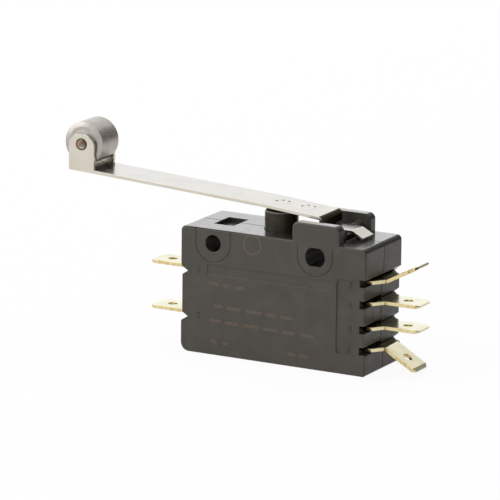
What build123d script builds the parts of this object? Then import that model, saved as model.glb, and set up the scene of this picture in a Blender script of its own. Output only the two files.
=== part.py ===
from build123d import *
import os
from math import cos, radians, sin, tan

# Double-pole snap-action switch with a long roller lever, in millimetres.
# X runs along the case, Y through its thickness and Z up. The origin is the middle of the
# case's bottom face. The roller end is at -X, and the four contact tabs are at +X.

# Case
case_length = 46.0
case_depth = 17.4
case_height = 28.6
face_wall = 1.7
end_wall = 4.5
floor_wall = 1.8
top_corner_radius = 1.1
bottom_left_radius = 2.0
bottom_right_radius = 0.6
face_edge_chamfer = 0.25

# Mounting holes, a round one and one with flats that takes up tolerance
hole_spacing = 25.4
left_hole_inset = 8.1
hole_drop = 3.2
round_hole_diameter = 3.8
flatted_hole_diameter = 4.8
flatted_hole_height = 4.1
pad_radius = 4.2
pad_groove_width = 0.25
pad_groove_depth = 0.15
pad_groove_gap = 0.7

# Poles, one above the other
upper_pole_level = 18.25
pole_pitch = 10.4
contact_row_offset = 2.4

# End grooves that the tabs come out of, centred a little above the tabs
groove_rise = 0.2
groove_height = 1.7
groove_depth = 1.6
sloped_groove_drop = 0.45
vee_height = 2.3
vee_depth = 1.8
right_end_step = 0.5
left_end_step = 0.4

# Recesses in the front face
label_recess_width = 7.1
label_recess_height = 16.9
label_recess_level = 12.9
label_recess_depth = 0.3
label_recess_corner = 1.0
band_recess_left_inset = 6.75
band_recess_right_inset = 8.75
band_recess_height = 2.3
band_recess_drop = 9.2
band_recess_depth = 0.15

# Pocket in the top
pocket_length = 4.8
pocket_width = 7.0
pocket_depth = 1.0
pocket_inset = 5.5

# Ears that carry the pivot pin
ear_inset = 6.55
ear_width = 11.7
ear_height = 4.2
ear_thickness = 2.4
ear_corner_radius = 1.4
pivot_boss_radius = 1.65
pivot_boss_gap = 0.25
relief_clearance = 0.3

# Dowels between the case halves
dowel_diameter = 1.6
dowel_length = 2.0
dowel_inset = 3.0
dowel_clearance = 0.05

# Pivot pin
pin_diameter = 1.6
pin_inset = 9.4
pin_rise = 0.85
pin_seat_depth = 1.4
pin_running_clearance = 0.05

# Lever strip with its roller bracket
strip_thickness = 0.75
strip_width = 9.6
strip_slope = 3.22
strip_end_slope = 5.08
strip_kink_offset = 18.1
strip_end_offset = 3.5
strip_end_rise = 4.96
strip_flange_height = 2.45
strip_bend_radius = 0.75
bracket_reach = 67.7
bracket_width = 6.5
bracket_height = 8.3
bracket_corner = 1.75
bracket_corner_radius = 1.4

# Lever base, riveted under the strip
base_thickness = 0.6
base_reach = 18.0
base_wall_offset = 4.8
base_bend_radius = 0.7
tongue_width = 5.0
tongue_bend_offset = 2.7
tongue_tip_length = 3.0
tongue_tip_angle = 28.0
cheek_radius = 1.35
sheet_gap = 0.05

# Rivets through the strip and the base
rivet_diameter = 3.0
rivet_spacing = 6.0
rivet_offset = 15.5
rivet_stock_length = 3.2

# Roller and its tubular pin
roller_diameter = 9.7
roller_boss_height = 0.17
roller_boss_diameter = 5.7
roller_side_clearance = 0.08
roller_bevel_height = 1.0
roller_bevel_depth = 0.3
roller_pin_rise = 6.05
roller_pin_diameter = 2.3
roller_pin_bore = 1.6
roller_pin_flare = 0.25
roller_pin_flare_angle = 45.0
roller_running_clearance = 0.05

# Plunger
plunger_offset = 16.0
plunger_diameter = 7.6
plunger_running_clearance = 0.08
plunger_rest_gap = 0.36
plunger_edge = 0.3
chamber_length = 11.6
chamber_width = 11.6
chamber_roof = 2.8
flange_size = 10.6
flange_thickness = 1.2
flange_gap = 0.05
rail_length = 2.4
rail_inner_y = 4.2
rail_thickness = 1.2
crossbar_height = 1.1
crossbar_gap = 0.1
rail_slot_clearance = 0.4

# Case interior
cavity_roof = 22.6
divider_level = 13.3
divider_thickness = 1.0

# Terminals: flat tabs outside the case, contact plates inside it
plate_thickness = 0.81
plate_width = 11.3
plate_neck_width = 6.0
plate_neck_inset = 5.5
plate_inner_inset = 9.8
shoulder_reach = 0.1
tab_width = 6.35
tab_root_reach = 1.9
tab_length = 8.3
tab_corner = 0.8
tab_hole_diameter = 2.1
tab_hole_inset = 4.1
tab_bend_radius = 0.6
tip_bevel_length = 0.9
tip_bevel_depth = 0.2
upper_tab_angle = 28.0
lower_tab_angle = -30.0
slot_clearance = 0.05
common_tab_reach = 10.9
common_drop = 0.3
common_shoulder_inset = 1.4
common_neck_inset = 7.5

# Contacts
contact_inset = 7.4
contact_diameter = 3.0
fixed_contact_height = 0.65
contact_shank_diameter = 1.5
moving_contact_height = 0.6
closed_contact_gap = 0.04

# Contact arm, its knife-edge pivot and the bowed snap spring
arm_thickness = 0.3
arm_width = 7.0
arm_pivot_inset = 10.4
arm_end_length = 1.9
arm_tip_chamfer = 1.4
arm_curl_radius = 0.45
arm_window_offset = 3.1
arm_window_margin = 1.9
arm_window_width = 3.8
arm_lug_height = 0.6
lip_height = 1.2
lip_face_gap = 0.1
pivot_clearance = 0.05
bow_thickness = 0.25
bow_width = 3.0
bow_rise = 2.3
bow_right_inset = 16.6
bow_gap = 0.03

# Places worked out from the sizes above
half_length = case_length / 2
half_depth = case_depth / 2
cavity_half_depth = half_depth - face_wall
ear_inner_y = half_depth - ear_thickness
cavity_end_x = half_length - end_wall
common_shoulder_x = common_shoulder_inset - half_length
common_neck_x = common_neck_inset - half_length
plate_neck_x = half_length - plate_neck_inset
plate_inner_x = half_length - plate_inner_inset
shoulder_x = half_length + shoulder_reach
tab_root_x = half_length + tab_root_reach
contact_x = half_length - contact_inset
arm_end_x = contact_x + arm_end_length
arm_pivot_x = arm_pivot_inset - half_length
bow_right_x = half_length - bow_right_inset
arm_window_left_x = arm_pivot_x + arm_window_offset
arm_window_right_x = bow_right_x - arm_window_margin
left_hole_x = left_hole_inset - half_length
right_hole_x = left_hole_x + hole_spacing
hole_level = case_height - hole_drop
pocket_x = pocket_inset + pocket_length / 2 - half_length
band_recess_width = case_length - band_recess_left_inset - band_recess_right_inset
band_recess_centre_x = (band_recess_left_inset - band_recess_right_inset) / 2
ear_left_x = half_length - ear_inset - ear_width
pin_x = half_length - pin_inset
pin_level = case_height + pin_rise
plunger_x = pin_x - plunger_offset
strip_end_x = pin_x - strip_end_offset
bracket_left_x = pin_x - bracket_reach
base_left_x = pin_x - base_reach
base_wall_x = pin_x - base_wall_offset
tongue_bend_x = pin_x + tongue_bend_offset
rivet_first_x = pin_x - rivet_offset
lower_pole_level = upper_pole_level - pole_pitch
pole_levels = [upper_pole_level, lower_pole_level]
row_levels = [pole + offset for pole in pole_levels for offset in (contact_row_offset, -contact_row_offset)]
chamber_roof_level = case_height - chamber_roof
strip_kink_x = pin_x - strip_kink_offset
strip_end_level = case_height + strip_end_rise
strip_kink_level = strip_end_level + (strip_end_x - strip_kink_x) * tan(radians(strip_end_slope))
base_drop = strip_thickness + base_thickness / cos(radians(strip_end_slope))
roller_x = bracket_left_x + bracket_width / 2
bracket_inner_y = strip_width / 2 - strip_thickness
flange_level = chamber_roof_level - flange_gap - flange_thickness
plate_to_contact = contact_row_offset - plate_thickness / 2 - fixed_contact_height
arm_rise = plate_to_contact - closed_contact_gap - moving_contact_height - arm_thickness / 2
spring_rise = bow_rise + arm_thickness / 2 + bow_thickness / 2 + bow_gap
crossbar_rise = spring_rise + bow_thickness / 2 + crossbar_gap
tongue_top_level = pin_level + pin_diameter / 2 + sheet_gap + base_thickness


def strip_top(x):
    """Level of the strip's upper face at x, on either side of its slight bend."""
    slope = strip_slope if x < strip_kink_x else strip_end_slope
    return strip_kink_level + (strip_kink_x - x) * tan(radians(slope))


bracket_foot = strip_top(bracket_left_x) - strip_thickness
bracket_top = bracket_foot + bracket_height
roller_level = bracket_foot + roller_pin_rise
plunger_top_level = strip_top(plunger_x) - base_drop - plunger_rest_gap


def layer(plane_y):
    """Plane parallel to the case's faces at the given Y."""
    return Plane.XZ.offset(-plane_y)


def case_outline(with_ear):
    """Side view of the case, with or without the pivot ear."""
    with BuildSketch() as outline:
        with Locations((0, case_height / 2)):
            Rectangle(case_length, case_height)
        fillet(outline.vertices().group_by(Axis.Y)[-1], radius=top_corner_radius)
        fillet(outline.vertices().group_by(Axis.Y)[0].sort_by(Axis.X)[0], radius=bottom_left_radius)
        fillet(outline.vertices().group_by(Axis.Y)[0].sort_by(Axis.X)[-1], radius=bottom_right_radius)
        if with_ear:
            with Locations((ear_left_x + ear_width / 2, case_height)):
                Rectangle(ear_width, 2 * ear_height)
            fillet(outline.vertices().group_by(Axis.Y)[-1], radius=ear_corner_radius)
    return outline.sketch_local


def square_groove(level):
    """Section of the groove that the front half has at a contact row."""
    with Locations((half_length, level + groove_rise)):
        Rectangle(2 * groove_depth, groove_height)


def sloped_groove(level):
    """Section of the groove that the rear half has at a contact row."""
    middle = level + groove_rise
    Polygon(
        (half_length, middle + groove_height / 2),
        (half_length - groove_depth, middle - sloped_groove_drop),
        (half_length - groove_depth, middle - groove_height / 2),
        (half_length, middle - groove_height / 2 - sloped_groove_drop),
        align=None,
    )


def common_groove(level):
    """Section of the notch at a common tab."""
    middle = level + groove_rise
    Polygon(
        (-half_length, middle + vee_height / 2),
        (-half_length + vee_depth, middle),
        (-half_length, middle - vee_height / 2),
        align=None,
    )


def case_half(side):
    """One moulded half of the case: side is -1 for the front half and 1 for the rear half."""
    upper_row = row_levels[0]
    lower_row = row_levels[-1]
    dowel_places = [(half_length - dowel_inset, divider_level), (dowel_inset - half_length, hole_level)]
    with BuildPart() as half:
        with BuildSketch(Plane.XZ):
            add(case_outline(False))
        extrude(amount=-side * ear_inner_y)
        with BuildSketch(layer(side * ear_inner_y)):
            add(case_outline(True))
        extrude(amount=-side * ear_thickness)
        outer_face = half.faces().sort_by(Axis.Y)[0 if side < 0 else -1]
        chamfer(outer_face.edges(), length=face_edge_chamfer)

        # Boss that reaches from the ear towards the lever, and the hollow under the lever's cheeks
        boss_inner_y = tongue_width / 2 + pivot_boss_gap
        with BuildSketch(layer(side * boss_inner_y)):
            with Locations((pin_x, pin_level)):
                Circle(pivot_boss_radius)
        extrude(amount=-side * (ear_inner_y - boss_inner_y))
        with BuildSketch(Plane.XZ):
            with Locations((pin_x, pin_level)):
                Circle(cheek_radius + relief_clearance)
        extrude(amount=-side * boss_inner_y, mode=Mode.SUBTRACT)
        with BuildSketch(Plane.XZ):
            with Locations((pin_x, pin_level)):
                Circle(pin_diameter / 2)
        extrude(amount=-side * (ear_inner_y + pin_seat_depth), mode=Mode.SUBTRACT)

        # Grooves and steps of the two ends
        with BuildSketch(Plane.XZ):
            for level in row_levels:
                if side < 0:
                    square_groove(level)
                else:
                    sloped_groove(level)
            for level in pole_levels:
                common_groove(level)
            with Locations((half_length, (upper_row + lower_row) / 2 + groove_rise)):
                Rectangle(2 * right_end_step, upper_row - lower_row)
            with Locations((-half_length, (upper_pole_level + lower_pole_level) / 2 + groove_rise)):
                Rectangle(2 * left_end_step, pole_pitch)
        extrude(amount=-side * half_depth, mode=Mode.SUBTRACT)

        # Room for the two poles and for the plunger's flange
        with BuildSketch(Plane.XZ):
            with Locations((0, floor_wall)):
                Rectangle(
                    case_length - 2 * end_wall,
                    cavity_roof - floor_wall,
                    align=(Align.CENTER, Align.MIN),
                )
            with Locations((0, divider_level)):
                Rectangle(case_length - 2 * end_wall, divider_thickness, mode=Mode.SUBTRACT)
        extrude(amount=-side * cavity_half_depth, mode=Mode.SUBTRACT)
        with BuildSketch(Plane.XY.offset(cavity_roof)):
            with Locations((plunger_x, 0)):
                Rectangle(chamber_length, chamber_width)
        extrude(amount=chamber_roof_level - cavity_roof, mode=Mode.SUBTRACT)
        with BuildSketch(Plane.XY.offset(chamber_roof_level)):
            with Locations((plunger_x, 0)):
                Circle(plunger_diameter / 2 + plunger_running_clearance)
        extrude(amount=chamber_roof, mode=Mode.SUBTRACT)
        with BuildSketch(Plane.XY.offset(divider_level)):
            with Locations((plunger_x, side * (rail_inner_y + rail_thickness / 2))):
                Rectangle(rail_length + 2 * rail_slot_clearance, rail_thickness + 2 * rail_slot_clearance)
        extrude(amount=divider_thickness, both=True, mode=Mode.SUBTRACT)

        # Slots that hold the terminals
        slot_width = plate_width + 2 * slot_clearance
        tab_slot_width = tab_width + 2 * slot_clearance
        for level in row_levels:
            slot(level, cavity_end_x, half_length, slot_width, side)
        for level in pole_levels:
            plate_level = level - common_drop
            slot(plate_level, common_shoulder_x - slot_clearance, -cavity_end_x, slot_width, side)
            slot(plate_level, -half_length, common_shoulder_x, tab_slot_width, side)

        # Mounting holes and the pocket in the top
        with BuildSketch(Plane.XZ):
            with Locations((left_hole_x, hole_level)):
                Circle(round_hole_diameter / 2)
        extrude(amount=-side * half_depth, mode=Mode.SUBTRACT)
        with BuildSketch(Plane.XZ):
            with Locations((right_hole_x, hole_level)):
                Circle(flatted_hole_diameter / 2)
                Rectangle(flatted_hole_diameter, flatted_hole_height, mode=Mode.INTERSECT)
        extrude(amount=-side * half_depth, mode=Mode.SUBTRACT)
        with BuildSketch(Plane.XY.offset(case_height)):
            with Locations((pocket_x, side * pocket_width / 4)):
                Rectangle(pocket_length, pocket_width / 2)
        extrude(amount=-pocket_depth, mode=Mode.SUBTRACT)

        # Dowels of the front half and their sockets in the rear half
        with BuildSketch(Plane.XZ):
            with Locations(*dowel_places):
                Circle(dowel_diameter / 2 + (0 if side < 0 else dowel_clearance))
        if side < 0:
            extrude(amount=-dowel_length)
            front_face_details()
        else:
            extrude(amount=-dowel_length - dowel_clearance, mode=Mode.SUBTRACT)
    return half.part


def slot(level, left_x, right_x, width, side):
    """Cut the half of a flat slot that lies on one side of the parting plane."""
    with BuildSketch(Plane.XY.offset(level)) as opening:
        with Locations(((left_x + right_x) / 2, side * width / 4)):
            Rectangle(right_x - left_x, width / 2)
    extrude(opening.sketch, amount=plate_thickness / 2 + slot_clearance, both=True, mode=Mode.SUBTRACT)


def front_face_details():
    """Grooves round the mounting pads and the shallow recesses for marks."""
    for hole_x, pad_groove_top in ((left_hole_x, hole_drop), (right_hole_x, hole_drop - pad_groove_gap)):
        with BuildSketch(layer(-half_depth)) as groove:
            for radius, mode in ((pad_radius + pad_groove_width, Mode.ADD), (pad_radius, Mode.SUBTRACT)):
                with Locations((hole_x, hole_level)):
                    Circle(radius, mode=mode)
                    Rectangle(2 * radius, hole_drop, align=(Align.CENTER, Align.MIN), mode=mode)
            with Locations((hole_x, hole_level + pad_groove_top)):
                Rectangle(
                    4 * pad_radius,
                    2 * pad_radius,
                    align=(Align.CENTER, Align.MIN),
                    mode=Mode.SUBTRACT,
                )
        extrude(groove.sketch, amount=-pad_groove_depth, mode=Mode.SUBTRACT)
    with BuildSketch(layer(-half_depth)) as label_recess:
        with Locations((half_length, label_recess_level)):
            RectangleRounded(2 * label_recess_width, label_recess_height, label_recess_corner)
    extrude(label_recess.sketch, amount=-label_recess_depth, mode=Mode.SUBTRACT)
    with BuildSketch(layer(-half_depth)) as band_recess:
        with Locations((band_recess_centre_x, case_height - band_recess_drop)):
            Rectangle(band_recess_width, band_recess_height)
    extrude(band_recess.sketch, amount=-band_recess_depth, mode=Mode.SUBTRACT)


def bend_section(angle):
    """Section of a tab's bend in the XZ plane, from the flat plate to the sloping tab."""
    turn = 1 if angle > 0 else -1
    centre = (tab_root_x, turn * (plate_thickness / 2 + tab_bend_radius))
    start = -90 * turn
    with BuildLine() as section:
        inner = CenterArc(centre, tab_bend_radius, start, angle)
        outer = CenterArc(centre, tab_bend_radius + plate_thickness, start, angle)
        Line(inner @ 0, outer @ 0)
        Line(inner @ 1, outer @ 1)
    make_face(section.line.edges())


def tab_outline():
    """Flat tab seen from above, from its root at the sketch's origin towards +X."""
    with Locations((tab_length / 2, 0)):
        tab = Rectangle(tab_length, tab_width)
    chamfer(tab.vertices().group_by(Axis.X)[-1], length=tab_corner)
    with Locations((tab_length - tab_hole_inset, 0)):
        Circle(tab_hole_diameter / 2, mode=Mode.SUBTRACT)


def tip_bevels(tab_side):
    """Wedges that thin the tip of a tab on both faces, drawn on the tab's side view."""
    with BuildPart() as wedges:
        with BuildSketch(tab_side):
            for face_level in (-plate_thickness / 2, plate_thickness / 2):
                Polygon(
                    (tab_length, face_level),
                    (tab_length - tip_bevel_length, face_level),
                    (tab_length, face_level * (1 - 2 * tip_bevel_depth / plate_thickness)),
                    align=None,
                )
        extrude(amount=tab_width, both=True)
    return wedges.part


def contact_terminal(level, angle):
    """Terminal of a fixed contact, with its tab bent by the given angle."""
    turn = 1 if angle > 0 else -1
    reach = tab_bend_radius + plate_thickness / 2
    run = cos(radians(angle))
    climb = sin(radians(angle))
    tab_start = (tab_root_x + reach * abs(climb), 0, level + turn * reach * (1 - run))
    tab_plane = Plane(tab_start, x_dir=(run, 0, climb), z_dir=(-climb, 0, run))
    with BuildPart() as terminal:
        with BuildSketch(Plane.XY.offset(level)):
            with BuildLine():
                Polyline(
                    (plate_inner_x, 0),
                    (plate_inner_x, plate_neck_width / 2),
                    (plate_neck_x, plate_neck_width / 2),
                    (plate_neck_x, plate_width / 2),
                    (shoulder_x, plate_width / 2),
                    (tab_root_x, tab_width / 2),
                    (tab_root_x, 0),
                )
                mirror(about=Plane.XZ)
            make_face()
            with Locations((contact_x, 0)):
                Circle(contact_shank_diameter / 2, mode=Mode.SUBTRACT)
        extrude(amount=plate_thickness / 2, both=True)
        if angle != 0:
            with BuildSketch(Plane((0, 0, level), x_dir=(1, 0, 0), z_dir=(0, -1, 0))):
                bend_section(angle)
            extrude(amount=tab_width / 2, both=True)
        with BuildSketch(tab_plane):
            tab_outline()
        extrude(amount=plate_thickness / 2, both=True)
        tab_side = Plane(tab_start, x_dir=(run, 0, climb), z_dir=(0, -1, 0))
        add(tip_bevels(tab_side), mode=Mode.SUBTRACT)
    return terminal.part


def common_terminal(level):
    """Common terminal with its straight tab, and the lip that the contact arm turns on."""
    pivot_level = level + arm_rise
    plate_level = level - common_drop
    lip_face_x = arm_pivot_x - lip_face_gap
    tab_root = -half_length - common_tab_reach + tab_length
    with BuildPart() as terminal:
        with BuildSketch(Plane.XY.offset(plate_level)):
            with BuildLine():
                Polyline(
                    (lip_face_x, 0),
                    (lip_face_x, plate_neck_width / 2),
                    (common_neck_x, plate_neck_width / 2),
                    (common_neck_x, plate_width / 2),
                    (common_shoulder_x, plate_width / 2),
                    (common_shoulder_x, tab_width / 2),
                    (tab_root, tab_width / 2),
                    (tab_root, 0),
                )
                mirror(about=Plane.XZ)
            make_face()
        extrude(amount=plate_thickness / 2, both=True)
        with BuildSketch(Plane((tab_root, 0, plate_level), x_dir=(-1, 0, 0), z_dir=(0, 0, 1))):
            tab_outline()
        extrude(amount=plate_thickness / 2, both=True)
        tab_side = Plane((tab_root, 0, plate_level), x_dir=(-1, 0, 0), z_dir=(0, 1, 0))
        add(tip_bevels(tab_side), mode=Mode.SUBTRACT)
        with BuildSketch(Plane.XZ):
            with Locations((lip_face_x - plate_thickness / 2, plate_level)):
                Rectangle(
                    plate_thickness,
                    common_drop + arm_rise + lip_height,
                    align=(Align.CENTER, Align.MIN),
                )
        extrude(amount=plate_neck_width / 2, both=True)
        with BuildSketch(Plane.XZ):
            with Locations((arm_pivot_x, pivot_level)):
                Circle(arm_curl_radius + pivot_clearance)
        extrude(amount=plate_neck_width, both=True, mode=Mode.SUBTRACT)
    return terminal.part


def fixed_contact(level, facing):
    """Contact rivet in a terminal: facing is -1 when its face points down and 1 when it points up."""
    with BuildPart() as contact:
        with BuildSketch(Plane.XY.offset(level)):
            with Locations((contact_x, 0)):
                Circle(contact_shank_diameter / 2)
        extrude(amount=plate_thickness / 2, both=True)
        with BuildSketch(Plane.XY.offset(level + facing * plate_thickness / 2)):
            with Locations((contact_x, 0)):
                Circle(contact_diameter / 2)
        extrude(amount=facing * fixed_contact_height)
    return contact.part


def contact_arm(level):
    """Spring arm with a curled knife edge, a window and the lug that the bowed spring pushes on."""
    arm_level = level + arm_rise
    with BuildPart() as arm:
        with BuildSketch(Plane.XY.offset(arm_level)):
            with Locations(((arm_pivot_x + arm_end_x) / 2, 0)):
                leaf = Rectangle(arm_end_x - arm_pivot_x, arm_width)
            chamfer(leaf.vertices().group_by(Axis.X)[-1], length=arm_tip_chamfer)
            with Locations(((arm_window_left_x + arm_window_right_x) / 2, 0)):
                Rectangle(arm_window_right_x - arm_window_left_x, arm_window_width, mode=Mode.SUBTRACT)
            with Locations((contact_x, 0)):
                Circle(contact_shank_diameter / 2, mode=Mode.SUBTRACT)
        extrude(amount=arm_thickness / 2, both=True)
        with BuildSketch(Plane.XZ):
            with Locations((arm_pivot_x, arm_level)):
                Circle(arm_curl_radius)
        extrude(amount=arm_width / 2, both=True)
        with BuildSketch(Plane.XZ):
            with Locations((bow_right_x + bow_gap + bow_thickness, arm_level)):
                Rectangle(arm_thickness, arm_lug_height, align=(Align.MIN, Align.MIN))
        extrude(amount=bow_width / 2, both=True)
    return arm.part


def moving_contact(level):
    """Double-faced contact rivet in the end of the contact arm."""
    arm_level = level + arm_rise
    with BuildPart() as contact:
        with BuildSketch(Plane.XY.offset(arm_level)):
            with Locations((contact_x, 0)):
                Circle(contact_shank_diameter / 2)
        extrude(amount=arm_thickness / 2, both=True)
        for facing in (-1, 1):
            with BuildSketch(Plane.XY.offset(arm_level + facing * arm_thickness / 2)):
                with Locations((contact_x, 0)):
                    Circle(contact_diameter / 2)
            extrude(amount=facing * moving_contact_height)
    return contact.part


def snap_spring(level):
    """Bowed leaf between the common terminal's lip and the contact arm's lug."""
    arm_level = level + arm_rise
    left_end = (arm_pivot_x + bow_gap, arm_level + arm_curl_radius + bow_thickness)
    crown = (plunger_x, arm_level + spring_rise)
    right_end = (bow_right_x, arm_level + spring_rise - bow_rise)
    with BuildPart() as spring:
        with BuildSketch(Plane.XZ):
            with BuildLine():
                ThreePointArc(left_end, crown, right_end)
            trace(line_width=bow_thickness)
        extrude(amount=bow_width / 2, both=True)
    return spring.part


# Moulded button, its flange, and the frame whose two bars press the two springs
with BuildPart() as plunger:
    button_radius = plunger_diameter / 2
    with BuildSketch(Plane((plunger_x, 0, 0), x_dir=(1, 0, 0), z_dir=(0, -1, 0))):
        Polygon(
            (0, plunger_top_level),
            (0, flange_level),
            (button_radius, flange_level),
            (button_radius, plunger_top_level - plunger_edge),
            (button_radius - plunger_edge, plunger_top_level),
            align=None,
        )
    revolve(axis=Axis((plunger_x, 0, 0), (0, 0, 1)))
    with BuildSketch(Plane.XY.offset(flange_level)):
        with Locations((plunger_x, 0)):
            Rectangle(flange_size, 2 * (rail_inner_y + rail_thickness))
    extrude(amount=flange_thickness)
    rail_bottom = lower_pole_level + arm_rise + crossbar_rise
    for side in (-1, 1):
        with BuildSketch(Plane.XY.offset(rail_bottom)):
            with Locations((plunger_x, side * (rail_inner_y + rail_thickness / 2))):
                Rectangle(rail_length, rail_thickness)
        extrude(amount=flange_level - rail_bottom)
    for pole_level in pole_levels:
        with BuildSketch(Plane.XY.offset(pole_level + arm_rise + crossbar_rise)):
            with Locations((plunger_x, 0)):
                Rectangle(rail_length, 2 * (rail_inner_y + rail_thickness))
        extrude(amount=crossbar_height)

# Steel pin that the lever turns on, held between the two ears
with BuildPart() as pivot_pin:
    with BuildSketch(Plane.XZ):
        with Locations((pin_x, pin_level)):
            Circle(pin_diameter / 2)
    extrude(amount=ear_inner_y + pin_seat_depth - sheet_gap, both=True)

# Long strip: a bent-down flange at the pivot end, and two ears folded up round the roller
with BuildPart() as lever_strip:
    flange_inner_x = strip_end_x - strip_thickness
    flange_bottom = strip_end_level - strip_flange_height
    with BuildSketch(Plane.XZ) as strip_section:
        Polygon(
            (bracket_left_x, bracket_foot),
            (strip_kink_x, strip_kink_level - strip_thickness),
            (flange_inner_x, strip_top(flange_inner_x) - strip_thickness),
            (flange_inner_x, flange_bottom),
            (strip_end_x, flange_bottom),
            (strip_end_x, strip_end_level),
            (strip_kink_x, strip_kink_level),
            (bracket_left_x, strip_top(bracket_left_x)),
            align=None,
        )
        outer_corner = strip_section.vertices().group_by(Axis.X)[-1].sort_by(Axis.Y)[-1]
        inner_corner = strip_section.vertices().group_by(Axis.X)[-2].sort_by(Axis.Y)[-1]
        fillet(outer_corner, radius=strip_bend_radius + strip_thickness / 2)
        fillet(inner_corner, radius=strip_bend_radius - strip_thickness / 2)
    extrude(amount=strip_width / 2, both=True)
    bracket_right_x = bracket_left_x + bracket_width
    for side in (-1, 1):
        with BuildSketch(layer(side * bracket_inner_y)) as bracket_plate:
            Polygon(
                (bracket_left_x, bracket_foot),
                (bracket_left_x, bracket_top),
                (bracket_right_x, bracket_top),
                (bracket_right_x, strip_top(bracket_right_x) - strip_thickness),
                align=None,
            )
            chamfer(bracket_plate.vertices().group_by(Axis.Y)[-1], length=bracket_corner)
            fillet(bracket_plate.vertices().sort_by(Axis.Y)[-4:], radius=bracket_corner_radius)
            with Locations((roller_x, roller_level)):
                Circle(roller_pin_diameter / 2, mode=Mode.SUBTRACT)
        extrude(amount=-side * strip_thickness)
    for rivet in range(2):
        with Locations((rivet_first_x + rivet * rivet_spacing, 0, strip_end_level)):
            Cylinder(rivet_diameter / 2, rivet_stock_length, mode=Mode.SUBTRACT)

# Base lever under the strip: it steps down to a tongue, whose cheeks hold the pivot pin
with BuildPart() as lever_base:
    base_middle = (strip_thickness + base_drop) / 2
    tongue_level = tongue_top_level - base_thickness / 2
    tip_run = tongue_tip_length * cos(radians(tongue_tip_angle))
    tip_fall = tongue_tip_length * sin(radians(tongue_tip_angle))
    with BuildSketch(Plane.XZ):
        with BuildLine():
            FilletPolyline(
                (base_left_x, strip_top(base_left_x) - base_middle),
                (base_wall_x, strip_top(base_wall_x) - base_middle),
                (base_wall_x, tongue_level),
                (tongue_bend_x, tongue_level),
                (tongue_bend_x + tip_run, tongue_level - tip_fall),
                radius=base_bend_radius,
            )
        trace(line_width=base_thickness)
    extrude(amount=tongue_width / 2, both=True)
    for side in (-1, 1):
        with BuildSketch(layer(side * (tongue_width / 2 - base_thickness))):
            with Locations((pin_x, pin_level)):
                Circle(cheek_radius)
                Rectangle(
                    2 * cheek_radius,
                    tongue_level - pin_level,
                    align=(Align.CENTER, Align.MIN),
                )
        extrude(amount=-side * base_thickness)
    with BuildSketch(Plane.XZ):
        with Locations((pin_x, pin_level)):
            Circle(pin_diameter / 2 + pin_running_clearance)
    extrude(amount=tongue_width, both=True, mode=Mode.SUBTRACT)
    for rivet in range(2):
        with Locations((rivet_first_x + rivet * rivet_spacing, 0, strip_end_level)):
            Cylinder(rivet_diameter / 2, rivet_stock_length, mode=Mode.SUBTRACT)

# Two flush rivets, trimmed to the faces of the strip and the base
with BuildPart() as lever_rivets:
    for rivet in range(2):
        with Locations((rivet_first_x + rivet * rivet_spacing, 0, strip_end_level)):
            Cylinder(rivet_diameter / 2, rivet_stock_length)
    with BuildSketch(Plane.XZ):
        with BuildLine():
            Polyline(
                (base_left_x, strip_top(base_left_x)),
                (base_wall_x, strip_top(base_wall_x)),
                (base_wall_x, strip_top(base_wall_x) - base_drop),
                (base_left_x, strip_top(base_left_x) - base_drop),
                close=True,
            )
        make_face()
    extrude(amount=strip_width / 2, both=True, mode=Mode.INTERSECT)

# Roller with a bevelled rim and a boss on each face
with BuildPart() as roller:
    rim_radius = roller_diameter / 2
    bore_radius = roller_pin_diameter / 2 + roller_running_clearance
    boss_y = bracket_inner_y - roller_side_clearance
    face_y = boss_y - roller_boss_height
    with BuildSketch(Plane((roller_x, 0, roller_level), x_dir=(1, 0, 0), z_dir=(0, 0, 1))):
        with BuildLine():
            Polyline(
                (bore_radius, 0),
                (bore_radius, boss_y),
                (roller_boss_diameter / 2, boss_y),
                (roller_boss_diameter / 2, face_y),
                (rim_radius - roller_bevel_height, face_y),
                (rim_radius, face_y - roller_bevel_depth),
                (rim_radius, 0),
                close=True,
            )
        make_face()
    revolve(axis=Axis((roller_x, 0, roller_level), (0, 1, 0)))
    mirror(about=Plane.XZ)

# Tubular pin through the bracket, flared at both ends
with BuildPart() as roller_pin:
    with BuildSketch(Plane.XZ):
        with Locations((roller_x, roller_level)):
            Circle(roller_pin_diameter / 2)
    extrude(amount=strip_width / 2, both=True)
    for side in (-1, 1):
        with BuildSketch(layer(side * strip_width / 2)):
            with Locations((roller_x, roller_level)):
                Circle(roller_pin_diameter / 2 + roller_pin_flare)
        extrude(amount=-side * roller_pin_flare, taper=roller_pin_flare_angle)
    with BuildSketch(Plane.XZ):
        with Locations((roller_x, roller_level)):
            Circle(roller_pin_bore / 2)
    extrude(amount=strip_width, both=True, mode=Mode.SUBTRACT)

pole_names = ["upper", "lower"]
tab_angles = [upper_tab_angle, 0, 0, lower_tab_angle]
pieces = {
    "case_front": case_half(-1),
    "case_rear": case_half(1),
    "plunger": plunger.part,
    "pivot_pin": pivot_pin.part,
    "lever_strip": lever_strip.part,
    "lever_base": lever_base.part,
    "lever_rivets": lever_rivets.part,
    "roller": roller.part,
    "roller_pin": roller_pin.part,
}
for pole, (pole_name, pole_level) in enumerate(zip(pole_names, pole_levels)):
    closed_level = pole_level + contact_row_offset
    open_level = pole_level - contact_row_offset
    pieces[f"closed_terminal_{pole_name}"] = contact_terminal(closed_level, tab_angles[2 * pole])
    pieces[f"open_terminal_{pole_name}"] = contact_terminal(open_level, tab_angles[2 * pole + 1])
    pieces[f"closed_contact_{pole_name}"] = fixed_contact(closed_level, -1)
    pieces[f"open_contact_{pole_name}"] = fixed_contact(open_level, 1)
    pieces[f"common_terminal_{pole_name}"] = common_terminal(pole_level)
    pieces[f"contact_arm_{pole_name}"] = contact_arm(pole_level)
    pieces[f"moving_contact_{pole_name}"] = moving_contact(pole_level)
    pieces[f"snap_spring_{pole_name}"] = snap_spring(pole_level)

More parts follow.
